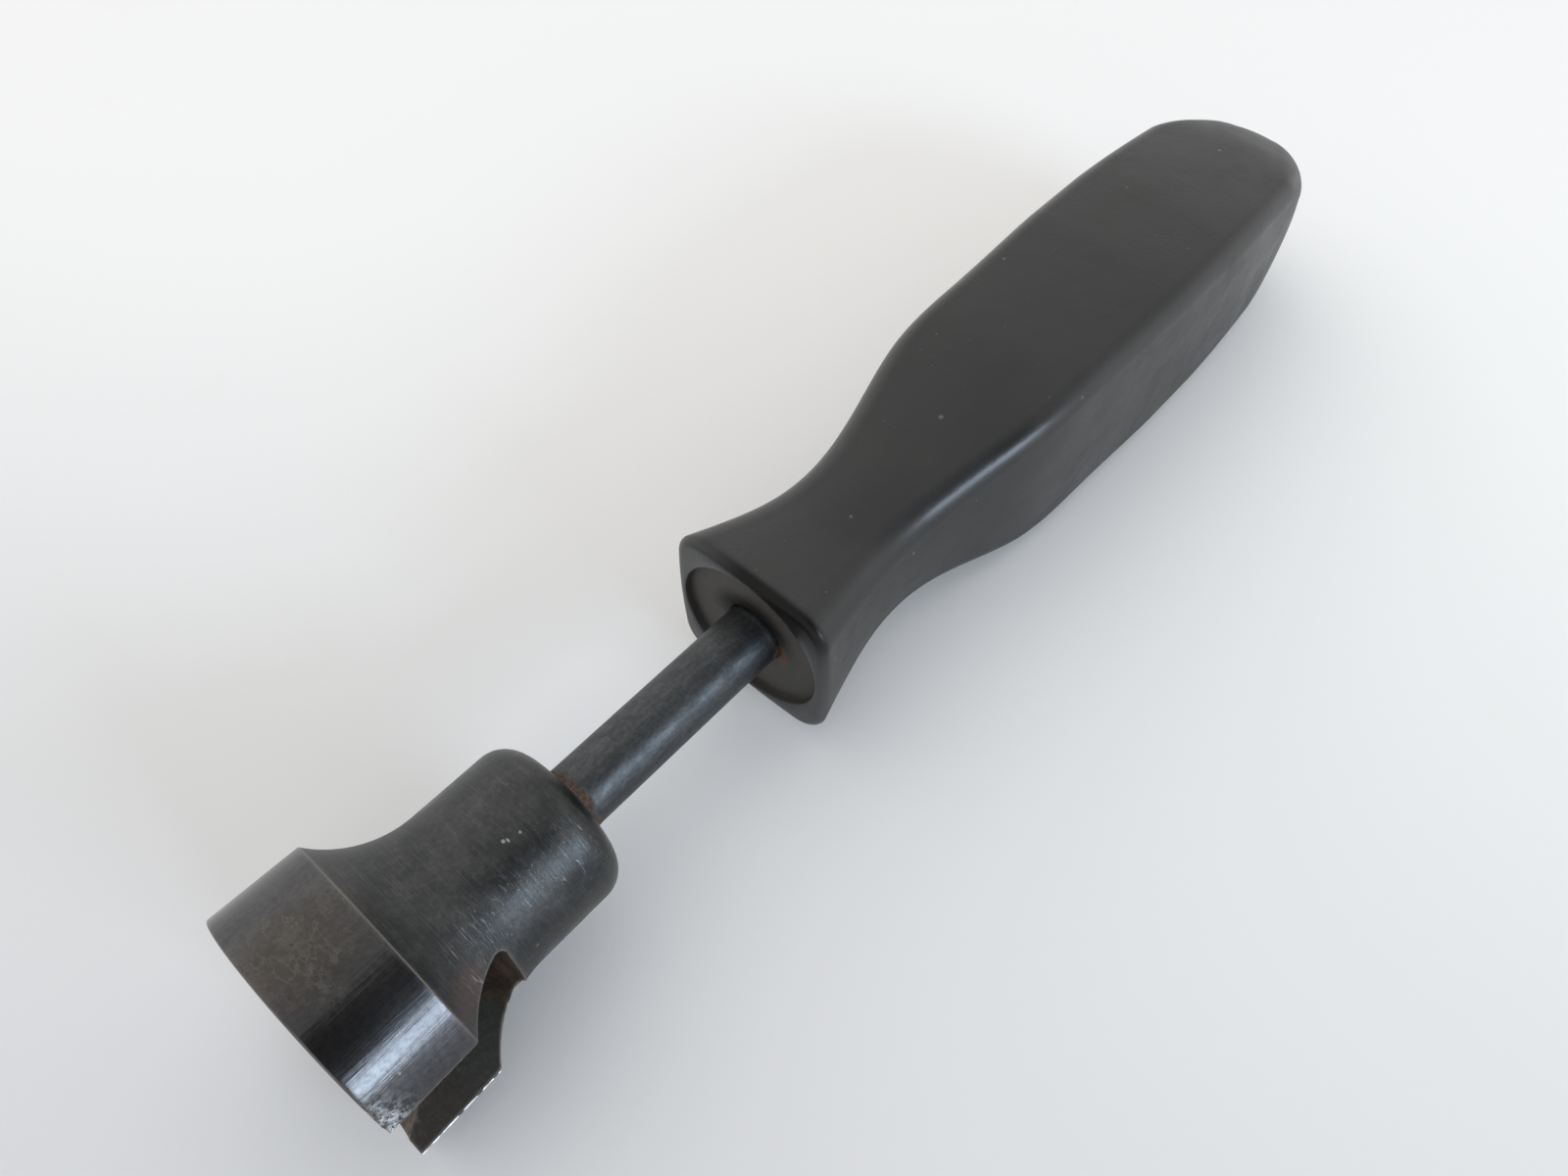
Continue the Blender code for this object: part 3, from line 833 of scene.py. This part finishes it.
def cup_finish():
    material, tree, surface, place, parts = new_finish("worn_cup_steel")
    along = parts[0]
    angle, from_axis, unrolled = unrolled_place(tree, parts, 12.0)
    inside, edge, chewed, cut_side, cone = (
        stored(tree, name) for name in ("inside", "edge_wear_and_sheen", "chewed", "cut_side", "cone")
    )
    on_skirt = between(tree, along, SKIRT_LENGTH + 0.15, SKIRT_LENGTH - 0.15)
    on_body = between(tree, along, 18.0, 21.5)
    lathe = grain(tree, stretched(tree, unrolled, (9.0, 0.16, 0.3)), 1.0, 4.0, 0.65)
    tone = grain(tree, place, 0.33, 5.0, 0.65)
    mottle = grain(tree, place, 1.7, 5.0, 0.72)
    deep = grain(tree, place, 0.9, 5.0, 0.7)

    # dark turned steel, smoother and browner on the skirt
    colour = between(tree, tone, 0.35, 0.7)
    colour = mixed(tree, colour, (0.050, 0.051, 0.052), (0.080, 0.081, 0.080))
    colour = tinted(tree, colour, 0.5, between(tree, lathe, 0.5, 0.75), (0.15, 0.15, 0.153))
    darker = between(tree, mottle, 0.60, 0.40, 0.0, 0.38)
    colour = mixed(tree, darker, colour, (0.036, 0.040, 0.040))
    skirt_steel = between(tree, mottle, 0.38, 0.6)
    skirt_steel = mixed(tree, skirt_steel, (0.068, 0.066, 0.068), (0.088, 0.087, 0.091))
    colour = tinted(tree, colour, 0.85, on_skirt, skirt_steel)
    colour, wisps = pitted_patch(tree, colour, place, along, angle, mottle)
    reddish = blob(tree, along, angle, (12.5, 34.0), 2.2, 9.0)
    colour = tinted(tree, colour, 0.35, reddish, (0.16, 0.10, 0.09))

    # fine scratches round the body, painted bright mostly in the band where the window's light
    # glances off it (a painted highlight), and bright specks and flakes
    across_turning = stretched(tree, unrolled, (3.2, 0.30, 0.1))
    marks = placed(tree, scratches, Place=across_turning, Scale=0.9, Width=0.030, Share=0.8)
    # painted highlight: the scratches are painted brightest in a band round 42 degrees, where the
    # window's highlight falls
    off_highlight_band = calc(tree, "ABSOLUTE", minus(tree, angle, math.radians(42.0)))
    highlight_band = between(tree, off_highlight_band, 0.45, 0.15, 0.18, 1.0)
    lines = times(tree, times(tree, marks["Mask"], highlight_band), between(tree, along, 10.6, 14.0))
    colour = tinted(tree, colour, 0.6, lines, (0.33, 0.345, 0.36))
    dots = placed(tree, specks, Place=place, Scale=0.5, Size=0.11)
    flakes = times(tree, bright_flakes(tree, along, angle), 0.8)
    dots = calc(tree, "MAXIMUM", times(tree, dots["Mask"], 0.3), flakes)
    colour = mixed(tree, dots, colour, (0.42, 0.42, 0.41))

    # bare metal at the worn edges and the chewed corner, with a painted highlight along the ridge,
    # and painted shade with grime in the joint where the shank goes in
    colour = tinted(tree, colour, 0.6, edge, (0.34, 0.31, 0.28))
    chips = times(tree, chewed, between(tree, mottle, 0.42, 0.56))
    colour = mixed(tree, chips, colour, (0.40, 0.41, 0.43))
    # painted shade in the joint round the hole where the shank goes in, darkened brown together
    # with grime
    grime = times(tree, between(tree, from_axis, 6.4, 4.6), between(tree, along, 30.6, 31.6))
    colour = tinted(tree, colour, 0.8, grime, (0.030, 0.022, 0.016))
    wall = cup_inside(tree, along, from_axis, mottle, deep, cone, cut_side)
    colour = mixed(tree, times(tree, inside, minus(tree, 1.0, edge)), colour, wall)
    put(tree, colour, surface.inputs["Base Color"])

    rough = level(tree, on_body, 0.42, 0.30)
    rough = level(tree, between(tree, tone, 0.3, 0.8), rough, 0.50)
    rough = level(tree, on_skirt, rough, level(tree, between(tree, along, 1.0, 9.0), 0.19, 0.26))
    rough = level(tree, wisps, rough, 0.70)
    rough = level(tree, grime, rough, 0.80)
    rough = level(tree, times(tree, edge, 0.8), rough, 0.28)
    rough = level(tree, inside, rough, 0.70)
    put(tree, rough, surface.inputs["Roughness"])
    metal = minus(tree, 1.0, times(tree, inside, 0.6))
    metal = minus(tree, metal, times(tree, wisps, 0.5), clamp=True)
    put(tree, metal, surface.inputs["Metallic"])

    # turning marks on the body, faint streaks along the skirt, then mottle, pits and chipping
    turned = times(tree, plus(tree, lathe, lines), level(tree, on_skirt, 1.0, 0.15))
    streaks = grain(tree, stretched(tree, unrolled, (0.12, 3.0, 0.1)), 1.0, 3.0, 0.6)
    turned = plus(tree, turned, times(tree, times(tree, streaks, on_skirt), 0.5))
    normal = raised(tree, turned, 40.0)
    normal = raised(tree, times(tree, mottle, level(tree, on_skirt, 1.0, 0.10)), 30.0, normal)
    pits = plus(tree, times(tree, wisps, mottle), times(tree, times(tree, inside, deep), 1.5))
    normal = raised(tree, pits, 80.0, normal)
    normal = raised(tree, times(tree, chewed, mottle), 120.0, normal)
    put(tree, normal, surface.inputs["Normal"])
    return material


def shank_finish():
    material, tree, surface, place, parts = new_finish("blued_shank_steel")
    along = parts[0]
    angle, _, unrolled = unrolled_place(tree, parts, SHANK_RADIUS)
    drawn = grain(tree, stretched(tree, unrolled, (0.35, 1.5, 1.0)), 1.0, 5.0, 0.66)
    tone = grain(tree, place, 0.45, 5.0, 0.65)
    mottle = grain(tree, place, 2.4, 4.0, 0.7)

    # blued bar, drawn lengthwise, with darker mottle, brown tint and fine scratches
    colour = between(tree, drawn, 0.35, 0.7)
    colour = mixed(tree, colour, (0.064, 0.069, 0.073), (0.096, 0.101, 0.107))
    darker = between(tree, mottle, 0.56, 0.40, 0.0, 0.45)
    colour = mixed(tree, darker, colour, (0.042, 0.046, 0.047))
    brown = placed(tree, blotches, Place=place, Scale=0.35, Start=0.5, Full=0.72)
    colour = tinted(tree, colour, 0.5, brown["Mask"], (0.080, 0.066, 0.054))
    lengthwise = stretched(tree, unrolled, (0.5, 1.4, 1.0))
    marks = placed(tree, scratches, Place=lengthwise, Scale=0.9, Width=0.012, Share=0.35)
    colour = tinted(tree, colour, 0.35, marks["Mask"], (0.24, 0.25, 0.26))

    # a soft rust ring at the cup, fading along the shank, and patchy rust at the handle
    ragged = plus(tree, along, times(tree, minus(tree, tone, 0.5), 3.0))
    ring = between(tree, ragged, CUP_LENGTH + 2.0, CUP_LENGTH + 0.8)
    ring = times(tree, ring, between(tree, along, CUP_LENGTH - 1.0, CUP_LENGTH - 0.5))
    at_handle = between(tree, along, HANDLE_FRONT - 1.2, HANDLE_FRONT + 0.8)
    at_handle = times(tree, at_handle, stripe(tree, angle, -8.0, 26.0))
    amount = times(tree, at_handle, 0.7)
    crusted = placed(tree, rust, Place=place, Scale=1.5, Amount=amount)
    ring_colour = between(tree, mottle, 0.36, 0.62)
    ring_colour = mixed(tree, ring_colour, (0.045, 0.028, 0.019), (0.120, 0.068, 0.038))
    colour = tinted(tree, colour, 0.9, ring, ring_colour)
    colour = mixed(tree, crusted["Mask"], colour, crusted["Colour"])
    put(tree, colour, surface.inputs["Base Color"])

    rusted = calc(tree, "MAXIMUM", ring, crusted["Mask"])
    rough = level(tree, between(tree, tone, 0.3, 0.75), 0.40, 0.54)
    put(tree, level(tree, rusted, rough, 0.85), surface.inputs["Roughness"])
    put(tree, minus(tree, 1.0, times(tree, rusted, 0.85)), surface.inputs["Metallic"])
    normal = raised(tree, plus(tree, drawn, mottle), 14.0)
    crust = plus(tree, crusted["Height"], times(tree, ring, mottle))
    put(tree, raised(tree, crust, 130.0, normal), surface.inputs["Normal"])
    return material


def recess_grime_and_shade(tree, colour, place, parts):
    """The handle's colour with dust, run rust and painted shade in the front's recess.

    Gives the colour, how much of the recess is here, and how much painted shade.
    """
    along, y, z = parts
    from_axis, angle = length(tree, y, z), angle_round(tree, y, z)
    in_recess = times(tree, between(tree, along, HANDLE_FRONT + 1.6, HANDLE_FRONT + 1.2),
                      between(tree, along, HANDLE_FRONT + 0.12, HANDLE_FRONT + 0.3))
    inner = between(tree, from_axis, RECESS_RADIUS + 0.3, RECESS_RADIUS + 0.1)
    in_recess = times(tree, in_recess, inner)
    dust_and_wall_shade = grain(tree, place, 0.8, 5.0, 0.65)
    dust_and_wall_shade = mixed(tree, dust_and_wall_shade, (0.030, 0.027, 0.023), (0.060, 0.054, 0.046))
    # painted shade: the dusty floor is painted darker brown along the recess's wall
    wall = between(tree, from_axis, RECESS_RADIUS - 1.0, RECESS_RADIUS - 0.1)
    dust_and_wall_shade = mixed(tree, wall, dust_and_wall_shade, (0.022, 0.018, 0.014))
    colour = tinted(tree, colour, 0.85, in_recess, dust_and_wall_shade)

    # painted shade: a painted shadow and a painted dark reflection of the shank on the floor above
    # it, and painted shade in the recess's upper corner
    shade_above_shank = times(tree, between(tree, from_axis, 7.6, 4.9), stripe(tree, angle, 92.0, 78.0))
    corner = times(tree, between(tree, along, HANDLE_FRONT + 1.6, HANDLE_FRONT + 0.7),
                   between(tree, from_axis, RECESS_RADIUS - 1.0, RECESS_RADIUS + 0.2))
    corner = times(tree, corner, stripe(tree, angle, 72.0, 38.0))
    recess_shade = calc(tree, "MAXIMUM", times(tree, shade_above_shank, in_recess), corner)
    colour = tinted(tree, colour, 0.85, recess_shade, (0.006, 0.0055, 0.005))

    # rust that has run from the shank
    run = times(tree, between(tree, from_axis, 6.2, 4.6), stripe(tree, angle, -10.0, 26.0))
    amount = times(tree, times(tree, run, in_recess), 1.3)
    stain = placed(tree, rust, Place=place, Scale=1.1, Amount=amount)
    return tinted(tree, colour, 0.85, stain["Mask"], stain["Colour"]), in_recess, recess_shade


def handle_finish():
    material, tree, surface, place, parts = new_finish("satin_black_plastic")
    edge = stored(tree, "edge_wear_and_sheen")
    tone = grain(tree, place, 0.09, 5.0, 0.6)

    # black plastic with brown blotches, dust, scratches and paler edges: wear, with a painted sheen
    # that brightens the crests
    colour = between(tree, tone, 0.35, 0.7)
    colour = mixed(tree, colour, (0.0042, 0.0046, 0.0051), (0.0085, 0.0088, 0.0090))
    brown = placed(tree, blotches, Place=place, Scale=0.13, Start=0.5, Full=0.75)
    colour = tinted(tree, colour, 0.5, brown["Mask"], (0.024, 0.020, 0.016))
    dust = placed(tree, specks, Place=place, Scale=0.28, Size=0.13)
    elsewhere = stretched(tree, place, (1.0, 1.0, 1.0), (3.0, 8.0, 5.0))
    fine_dust = placed(tree, specks, Place=elsewhere, Scale=0.8, Size=0.12)
    light = calc(tree, "MAXIMUM", dust["Mask"], times(tree, fine_dust["Mask"], 0.4))
    colour = tinted(tree, colour, 0.5, light, (0.16, 0.15, 0.13))
    lengthwise = stretched(tree, place, (0.25, 0.9, 0.9))
    marks = placed(tree, scratches, Place=lengthwise, Scale=0.5, Width=0.008, Share=0.35)
    colour = tinted(tree, colour, 0.3, marks["Mask"], (0.10, 0.10, 0.10))
    # paler edges: wear, with a painted sheen that strengthens the crests' highlight
    colour = tinted(tree, colour, 0.25, edge, (0.050, 0.051, 0.053))
    colour, in_recess, recess_shade = recess_grime_and_shade(tree, colour, place, parts)
    put(tree, colour, surface.inputs["Base Color"])

    shine = minus(tree, 0.5, times(tree, recess_shade, 0.38))
    put(tree, shine, surface.inputs["Specular IOR Level"])
    surface.inputs["IOR"].default_value = 1.53
    rough = level(tree, between(tree, tone, 0.3, 0.75), 0.36, 0.47)
    rough = level(tree, brown["Mask"], rough, 0.52)
    rough = level(tree, times(tree, edge, 0.8), rough, 0.27)
    rough = level(tree, in_recess, rough, 0.62)
    rough = level(tree, marks["Mask"], rough, 0.6)
    put(tree, rough, surface.inputs["Roughness"])
    normal = raised(tree, grain(tree, place, 1.6, 3.0, 0.55), 22.0)
    normal = raised(tree, grain(tree, place, 0.12, 2.0, 0.5), 120.0, normal)
    dents = minus(tree, times(tree, marks["Mask"], -1.0), light)
    put(tree, raised(tree, dents, 30.0, normal), surface.inputs["Normal"])
    return material


def table_finish():
    material, tree, surface, place, parts = new_finish("pale_table_top")
    soft = grain(tree, place, 0.012, 3.0, 0.5)
    fine = grain(tree, place, 0.6, 3.0, 0.6)
    # painted shade: the table top is painted greyer towards -X and -Y
    across = plus(tree, parts[0], times(tree, parts[1], 0.5))
    shade = between(tree, across, -180.0, 80.0)
    colour = mixed(tree, shade, (0.70, 0.70, 0.715), (0.985, 0.98, 0.97))
    colour = mixed(tree, times(tree, soft, 0.5), colour, (0.97, 0.985, 1.0), "MULTIPLY")
    colour = mixed(tree, times(tree, fine, 0.2), colour, (0.95, 0.95, 0.95), "MULTIPLY")
    crumbs = placed(tree, specks, Place=place, Scale=0.045, Size=0.022)
    smudge = placed(tree, blotches, Place=place, Scale=0.035, Start=0.60, Full=0.85)
    colour = tinted(tree, colour, 0.55, crumbs["Mask"], (0.45, 0.44, 0.43))
    colour = tinted(tree, colour, 0.10, smudge["Mask"], (0.62, 0.56, 0.48))
    put(tree, colour, surface.inputs["Base Color"])
    surface.inputs["Roughness"].default_value = 0.6
    surface.inputs["Specular IOR Level"].default_value = 0.3
    put(tree, raised(tree, fine, 20.0), surface.inputs["Normal"])
    return material


# Table, light and camera -------------------------------------------------------------------------

def make_table():
    """A wide table top that touches the skirt and the handle's widest place."""
    handle_low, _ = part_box("handle")
    slope = handle_low.z / (handle_low.x + WIDEST_PLACE * MM - cup_low.x)
    reach, gap = 2.5, 0.02 * MM
    corners = [(x, y, slope * (x - cup_low.x) - gap) for x, y in
               ((-reach, -reach), (reach, -reach), (reach, reach), (-reach, reach))]
    mesh = bpy.data.meshes.new("table_top")
    mesh.from_pydata(corners, [], [(0, 1, 2, 3)])
    mesh.materials.append(table_finish())
    add_piece("table_top", mesh)


def make_room():
    """A soft room: pale light all round, paler low down, dimmer where the viewer stands."""
    world = bpy.data.worlds.new("soft_room")
    bpy.context.scene.world = world
    world.use_nodes = True
    tree = world.node_tree
    way = tree.nodes.new("ShaderNodeTexCoord").outputs["Generated"]
    dot = tree.nodes.new("ShaderNodeVectorMath")
    dot.operation = "DOT_PRODUCT"
    put(tree, way, dot.inputs[0])
    dot.inputs[1].default_value = Vector((-0.05, -0.68, 0.73)).normalized()
    viewer = between(tree, dot.outputs["Value"], 0.86, 0.93)
    colour = mixed(tree, viewer, (0.88, 0.875, 0.865), (0.145, 0.145, 0.15))
    split = tree.nodes.new("ShaderNodeSeparateXYZ")
    put(tree, way, split.inputs[0])
    overhead = between(tree, split.outputs[2], 0.25, 0.90)
    strength = mixed(tree, overhead, (1.14, 1.14, 1.14), (0.84, 0.84, 0.84))
    colour = mixed(tree, 1.0, colour, strength, "MULTIPLY")
    background = tree.nodes["Background"]
    put(tree, colour, background.inputs["Color"])
    background.inputs["Strength"].default_value = 1.0


def add_softbox(name, place, width, height, power, colour):
    """A flat lamp in metres and watts, turned towards the tool."""
    light = bpy.data.lights.new(name, "AREA")
    light.shape, light.size, light.size_y = "RECTANGLE", width, height
    light.energy, light.color = power, colour
    lamp = add_piece(name, light)
    lamp.location = place
    lamp.rotation_euler = (-Vector(place)).to_track_quat("-Z", "Y").to_euler()


def add_camera(place, turn, lens):
    """A camera this many millimetres from the mouth, turned about an axis by its length."""
    camera = add_piece("camera", bpy.data.cameras.new("camera"))
    camera.location = MOUTH + Vector(place) * MM
    camera.rotation_mode = "QUATERNION"
    turn = Vector(turn)
    camera.rotation_quaternion = Matrix.Rotation(turn.length, 4, turn).to_quaternion()
    camera.data.sensor_width = 36.0
    camera.data.lens = lens
    camera.data.clip_start = 0.01
    bpy.context.scene.camera = camera


make_cup(cup_finish())
make_shank(shank_finish())
make_handle(handle_finish())
make_table()
make_room()
add_softbox("window_light", (0.06, -1.16, 0.42), 0.62, 0.32, 7.0, (0.68, 0.83, 1.0))
add_softbox("ceiling_light", (-0.1, 0.85, 0.95), 1.6, 1.6, 2.6, (1.0, 0.97, 0.92))
add_camera((8.893, -52.427, 112.862), (0.58693, -0.2624, -0.81769), 25.875)
bpy.context.scene.view_settings.view_transform = "Standard"
bpy.context.scene.view_settings.exposure = 0.05
